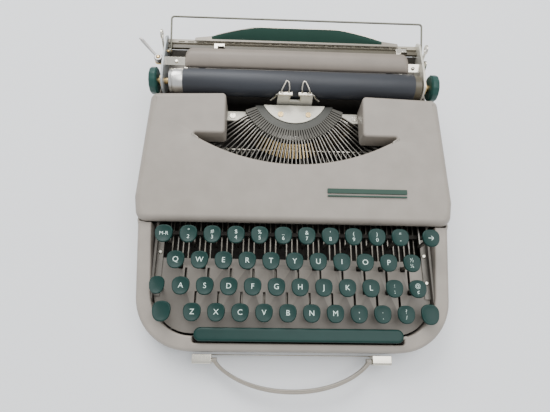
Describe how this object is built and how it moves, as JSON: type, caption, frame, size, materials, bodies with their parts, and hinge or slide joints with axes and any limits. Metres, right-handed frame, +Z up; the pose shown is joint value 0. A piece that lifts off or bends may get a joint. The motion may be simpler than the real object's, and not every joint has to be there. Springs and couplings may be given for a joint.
{
  "type": "portable typewriter",
  "caption": "Flat portable typewriter with painted steel body, lift-off hood, green keys on long levers, type segment, sliding carriage with platen, and a carrying handle.",
  "frame": {"origin": "on the table under the middle of the outline seen from above", "axes": "+X to the typist's right along the platen, +Y from the typist towards the carriage, +Z up"},
  "size_m": [0.2856, 0.336, 0.0727],
  "materials": {
    "body_paint": "fine-textured warm taupe-grey enamel",
    "table_paint": "smooth taupe enamel",
    "rail_paint": "olive-tan enamel on pressed steel",
    "end_plate_paint": "pale blue-grey enamel",
    "support_paint": "semi-gloss dark green enamel",
    "key_green": "glossy moulded dark green plastic",
    "legend_paint": "pale filled legends",
    "frame_steel": "oiled dark grey steel",
    "typebar_steel": "bright worn steel",
    "nickel": "satin nickel plate",
    "dark_chrome": "bright plated wire and levers",
    "platen_rubber": "matt hard rubber, blue-black",
    "collar_metal": "turned bright collar",
    "handle_plastic": "tan-grey moulded strap, satin",
    "foot_rubber": "matt black rubber",
    "ribbon_cloth": "inked cotton ribbon"
  },
  "bodies": {
    "chassis": {"base_shell": "body_paint", "main_frame": "frame_steel", "segment": "nickel", "typebars": "typebar_steel", "handle_mount": "nickel", "foot_1": "foot_rubber", "foot_2": "foot_rubber", "foot_3": "foot_rubber", "foot_4": "foot_rubber"},
    "hood": {"top_cover": "body_paint"},
    "handle": {"carry_handle": "handle_plastic"},
    "shift_rail": {"carriage_rail": "frame_steel", "card_holder": "nickel"},
    "carriage": {"carriage_frame": "rail_paint", "paper_table": "table_paint"},
    "platen": {"platen": "platen_rubber", "knob_left": "key_green", "knob_right": "key_green"},
    "return_lever": {"return_lever": "dark_chrome"},
    "carriage_release": {"carriage_release_lever": "dark_chrome"},
    "paper_release": {"paper_release_lever": "dark_chrome"},
    "margin_stop_left": {"margin_stop_left": "nickel"},
    "margin_stop_right": {"margin_stop_right": "nickel"},
    "paper_support": {"paper_support": "support_paint"},
    "paper_bail": {"paper_bail": "dark_chrome"},
    "spool_left": {"spool_left": "frame_steel"},
    "spool_right": {"spool_right": "frame_steel"},
    "shift": {"shift_keys": "key_green"},
    "shift_lock": {"shift_lock": "key_green"},
    "space_bar": {"space_bar": "key_green"},
    "margin_release": {"margin_release_key": "key_green"},
    "backspace": {"backspace_key": "key_green"},
    "number_keys": {"number_keys": "key_green"},
    "mark_keys": {"mark_keys": "key_green"},
    "key_z": {"key_z": "key_green"},
    "key_x": {"key_x": "key_green"},
    "key_c": {"key_c": "key_green"},
    "key_v": {"key_v": "key_green"},
    "key_b": {"key_b": "key_green"},
    "key_n": {"key_n": "key_green"},
    "key_m": {"key_m": "key_green"},
    "key_a": {"key_a": "key_green"},
    "key_s": {"key_s": "key_green"},
    "key_d": {"key_d": "key_green"},
    "key_f": {"key_f": "key_green"},
    "key_g": {"key_g": "key_green"},
    "key_h": {"key_h": "key_green"},
    "key_j": {"key_j": "key_green"},
    "key_k": {"key_k": "key_green"},
    "key_l": {"key_l": "key_green"},
    "key_q": {"key_q": "key_green"},
    "key_w": {"key_w": "key_green"},
    "key_e": {"key_e": "key_green"},
    "key_r": {"key_r": "key_green"},
    "key_t": {"key_t": "key_green"},
    "key_y": {"key_y": "key_green"},
    "key_u": {"key_u": "key_green"},
    "key_i": {"key_i": "key_green"},
    "key_o": {"key_o": "key_green"},
    "key_p": {"key_p": "key_green"}
  },
  "joints": [
    {"name": "shift_lift", "type": "slide", "parent": "chassis", "child": "shift_rail", "axis": [0, 0, 1], "range_m": [0, 0.006], "stiffness_N_per_m": 150, "springref_m": -0.004},
    {"name": "carriage_slide", "type": "slide", "parent": "shift_rail", "child": "carriage", "axis": [1, 0, 0], "range_m": [-0.095, 0.095]},
    {"name": "platen_turn", "type": "hinge", "parent": "carriage", "child": "platen", "pos_m": [0.00388, 0.10298, 0.058], "axis": [1, 0, 0], "continuous": true},
    {"name": "return_lever_swing", "type": "hinge", "parent": "carriage", "child": "return_lever", "pos_m": [-0.12472, 0.12498, 0.062], "axis": [0, 0, 1], "range_deg": [0, 45], "stiffness_Nm_per_rad": 0.02, "springref_deg": -11.46},
    {"name": "carriage_release_press", "type": "hinge", "parent": "carriage", "child": "carriage_release", "pos_m": [0.00388, 0.13898, 0.052], "axis": [1, 0, 0], "range_deg": [-15, 0], "stiffness_Nm_per_rad": 0.02, "springref_deg": 17.19},
    {"name": "paper_release_pull", "type": "hinge", "parent": "carriage", "child": "paper_release", "pos_m": [0.12863, 0.11998, 0.05], "axis": [1, 0, 0], "range_deg": [0, 20]},
    {"name": "margin_stop_left_slide", "type": "slide", "parent": "carriage", "child": "margin_stop_left", "axis": [1, 0, 0], "range_m": [-0.035, 0.06]},
    {"name": "margin_stop_right_slide", "type": "slide", "parent": "carriage", "child": "margin_stop_right", "axis": [1, 0, 0], "range_m": [-0.09, 0.008]},
    {"name": "paper_support_raise", "type": "hinge", "parent": "carriage", "child": "paper_support", "pos_m": [0.00388, 0.14748, 0.0626], "axis": [1, 0, 0], "range_deg": [0, 65]},
    {"name": "paper_bail_swing", "type": "hinge", "parent": "carriage", "child": "paper_bail", "pos_m": [0.00388, 0.13498, 0.06], "axis": [1, 0, 0], "range_deg": [0, 141]},
    {"name": "hood_lift_off", "type": "slide", "parent": "chassis", "child": "hood", "axis": [0, 0, 1], "range_m": [0, 0.06]},
    {"name": "handle_swing", "type": "hinge", "parent": "chassis", "child": "handle", "pos_m": [0.00388, -0.14202, 0.017], "axis": [1, 0, 0], "range_deg": [-60, 0]},
    {"name": "spool_left_spin", "type": "hinge", "parent": "chassis", "child": "spool_left", "pos_m": [-0.09312, 0.01498, 0.044], "axis": [0, 0, 1], "continuous": true},
    {"name": "spool_right_spin", "type": "hinge", "parent": "chassis", "child": "spool_right", "pos_m": [0.10088, 0.01498, 0.044], "axis": [0, 0, 1], "continuous": true},
    {"name": "shift_press", "type": "hinge", "parent": "chassis", "child": "shift", "pos_m": [0.00388, 0.05298, 0.0195], "axis": [1, 0, 0], "range_deg": [0, 2.27]},
    {"name": "shift_lock_press", "type": "slide", "parent": "shift", "child": "shift_lock", "axis": [0, 0, -1], "range_m": [0, 0.002], "stiffness_N_per_m": 100, "springref_m": -0.002},
    {"name": "space_bar_press", "type": "hinge", "parent": "chassis", "child": "space_bar", "pos_m": [0.00388, 0.05298, 0.0195], "axis": [1, 0, 0], "range_deg": [0, 1.8], "stiffness_Nm_per_rad": 0.4, "springref_deg": -8.59},
    {"name": "margin_release_press", "type": "hinge", "parent": "chassis", "child": "margin_release", "pos_m": [-0.10412, -0.01902, 0.0305], "axis": [1, 0, 0], "range_deg": [0, 7.5], "stiffness_Nm_per_rad": 0.05, "springref_deg": -8.59},
    {"name": "backspace_press", "type": "hinge", "parent": "chassis", "child": "backspace", "pos_m": [0.11588, -0.01902, 0.0305], "axis": [1, 0, 0], "range_deg": [0, 7.5], "stiffness_Nm_per_rad": 0.05, "springref_deg": -8.59},
    {"name": "number_keys_press", "type": "hinge", "parent": "chassis", "child": "number_keys", "pos_m": [0.00388, 0.05298, 0.0195], "axis": [1, 0, 0], "range_deg": [0, 4.7], "stiffness_Nm_per_rad": 0.6, "springref_deg": -8.59},
    {"name": "mark_keys_press", "type": "hinge", "parent": "chassis", "child": "mark_keys", "pos_m": [0.00388, 0.05298, 0.0195], "axis": [1, 0, 0], "range_deg": [0, 2.89], "stiffness_Nm_per_rad": 0.5, "springref_deg": -8.59},
    {"name": "key_q_press", "type": "hinge", "parent": "chassis", "child": "key_q", "pos_m": [0.00388, 0.05298, 0.0195], "axis": [1, 0, 0], "range_deg": [0, 3.89], "stiffness_Nm_per_rad": 0.1, "springref_deg": -8.59},
    {"name": "key_w_press", "type": "hinge", "parent": "chassis", "child": "key_w", "pos_m": [0.00388, 0.05298, 0.0195], "axis": [1, 0, 0], "range_deg": [0, 3.89], "stiffness_Nm_per_rad": 0.1, "springref_deg": -8.59},
    {"name": "key_e_press", "type": "hinge", "parent": "chassis", "child": "key_e", "pos_m": [0.00388, 0.05298, 0.0195], "axis": [1, 0, 0], "range_deg": [0, 3.89], "stiffness_Nm_per_rad": 0.1, "springref_deg": -8.59},
    {"name": "key_r_press", "type": "hinge", "parent": "chassis", "child": "key_r", "pos_m": [0.00388, 0.05298, 0.0195], "axis": [1, 0, 0], "range_deg": [0, 3.89], "stiffness_Nm_per_rad": 0.1, "springref_deg": -8.59},
    {"name": "key_t_press", "type": "hinge", "parent": "chassis", "child": "key_t", "pos_m": [0.00388, 0.05298, 0.0195], "axis": [1, 0, 0], "range_deg": [0, 3.89], "stiffness_Nm_per_rad": 0.1, "springref_deg": -8.59},
    {"name": "key_y_press", "type": "hinge", "parent": "chassis", "child": "key_y", "pos_m": [0.00388, 0.05298, 0.0195], "axis": [1, 0, 0], "range_deg": [0, 3.89], "stiffness_Nm_per_rad": 0.1, "springref_deg": -8.59},
    {"name": "key_u_press", "type": "hinge", "parent": "chassis", "child": "key_u", "pos_m": [0.00388, 0.05298, 0.0195], "axis": [1, 0, 0], "range_deg": [0, 3.89], "stiffness_Nm_per_rad": 0.1, "springref_deg": -8.59},
    {"name": "key_i_press", "type": "hinge", "parent": "chassis", "child": "key_i", "pos_m": [0.00388, 0.05298, 0.0195], "axis": [1, 0, 0], "range_deg": [0, 3.89], "stiffness_Nm_per_rad": 0.1, "springref_deg": -8.59},
    {"name": "key_o_press", "type": "hinge", "parent": "chassis", "child": "key_o", "pos_m": [0.00388, 0.05298, 0.0195], "axis": [1, 0, 0], "range_deg": [0, 3.89], "stiffness_Nm_per_rad": 0.1, "springref_deg": -8.59},
    {"name": "key_p_press", "type": "hinge", "parent": "chassis", "child": "key_p", "pos_m": [0.00388, 0.05298, 0.0195], "axis": [1, 0, 0], "range_deg": [0, 3.89], "stiffness_Nm_per_rad": 0.1, "springref_deg": -8.59},
    {"name": "key_a_press", "type": "hinge", "parent": "chassis", "child": "key_a", "pos_m": [0.00388, 0.05298, 0.0195], "axis": [1, 0, 0], "range_deg": [0, 3.32], "stiffness_Nm_per_rad": 0.1, "springref_deg": -8.59},
    {"name": "key_s_press", "type": "hinge", "parent": "chassis", "child": "key_s", "pos_m": [0.00388, 0.05298, 0.0195], "axis": [1, 0, 0], "range_deg": [0, 3.32], "stiffness_Nm_per_rad": 0.1, "springref_deg": -8.59},
    {"name": "key_d_press", "type": "hinge", "parent": "chassis", "child": "key_d", "pos_m": [0.00388, 0.05298, 0.0195], "axis": [1, 0, 0], "range_deg": [0, 3.32], "stiffness_Nm_per_rad": 0.1, "springref_deg": -8.59},
    {"name": "key_f_press", "type": "hinge", "parent": "chassis", "child": "key_f", "pos_m": [0.00388, 0.05298, 0.0195], "axis": [1, 0, 0], "range_deg": [0, 3.32], "stiffness_Nm_per_rad": 0.1, "springref_deg": -8.59},
    {"name": "key_g_press", "type": "hinge", "parent": "chassis", "child": "key_g", "pos_m": [0.00388, 0.05298, 0.0195], "axis": [1, 0, 0], "range_deg": [0, 3.32], "stiffness_Nm_per_rad": 0.1, "springref_deg": -8.59},
    {"name": "key_h_press", "type": "hinge", "parent": "chassis", "child": "key_h", "pos_m": [0.00388, 0.05298, 0.0195], "axis": [1, 0, 0], "range_deg": [0, 3.32], "stiffness_Nm_per_rad": 0.1, "springref_deg": -8.59},
    {"name": "key_j_press", "type": "hinge", "parent": "chassis", "child": "key_j", "pos_m": [0.00388, 0.05298, 0.0195], "axis": [1, 0, 0], "range_deg": [0, 3.32], "stiffness_Nm_per_rad": 0.1, "springref_deg": -8.59},
    {"name": "key_k_press", "type": "hinge", "parent": "chassis", "child": "key_k", "pos_m": [0.00388, 0.05298, 0.0195], "axis": [1, 0, 0], "range_deg": [0, 3.32], "stiffness_Nm_per_rad": 0.1, "springref_deg": -8.59},
    {"name": "key_l_press", "type": "hinge", "parent": "chassis", "child": "key_l", "pos_m": [0.00388, 0.05298, 0.0195], "axis": [1, 0, 0], "range_deg": [0, 3.32], "stiffness_Nm_per_rad": 0.1, "springref_deg": -8.59},
    {"name": "key_z_press", "type": "hinge", "parent": "chassis", "child": "key_z", "pos_m": [0.00388, 0.05298, 0.0195], "axis": [1, 0, 0], "range_deg": [0, 2.89], "stiffness_Nm_per_rad": 0.1, "springref_deg": -8.59},
    {"name": "key_x_press", "type": "hinge", "parent": "chassis", "child": "key_x", "pos_m": [0.00388, 0.05298, 0.0195], "axis": [1, 0, 0], "range_deg": [0, 2.89], "stiffness_Nm_per_rad": 0.1, "springref_deg": -8.59},
    {"name": "key_c_press", "type": "hinge", "parent": "chassis", "child": "key_c", "pos_m": [0.00388, 0.05298, 0.0195], "axis": [1, 0, 0], "range_deg": [0, 2.89], "stiffness_Nm_per_rad": 0.1, "springref_deg": -8.59},
    {"name": "key_v_press", "type": "hinge", "parent": "chassis", "child": "key_v", "pos_m": [0.00388, 0.05298, 0.0195], "axis": [1, 0, 0], "range_deg": [0, 2.89], "stiffness_Nm_per_rad": 0.1, "springref_deg": -8.59},
    {"name": "key_b_press", "type": "hinge", "parent": "chassis", "child": "key_b", "pos_m": [0.00388, 0.05298, 0.0195], "axis": [1, 0, 0], "range_deg": [0, 2.89], "stiffness_Nm_per_rad": 0.1, "springref_deg": -8.59},
    {"name": "key_n_press", "type": "hinge", "parent": "chassis", "child": "key_n", "pos_m": [0.00388, 0.05298, 0.0195], "axis": [1, 0, 0], "range_deg": [0, 2.89], "stiffness_Nm_per_rad": 0.1, "springref_deg": -8.59},
    {"name": "key_m_press", "type": "hinge", "parent": "chassis", "child": "key_m", "pos_m": [0.00388, 0.05298, 0.0195], "axis": [1, 0, 0], "range_deg": [0, 2.89], "stiffness_Nm_per_rad": 0.1, "springref_deg": -8.59}
  ],
  "couplings": [
    {"joint": "shift_press", "follows": "shift_lift", "rad_per_m": 6.3107}
  ]
}
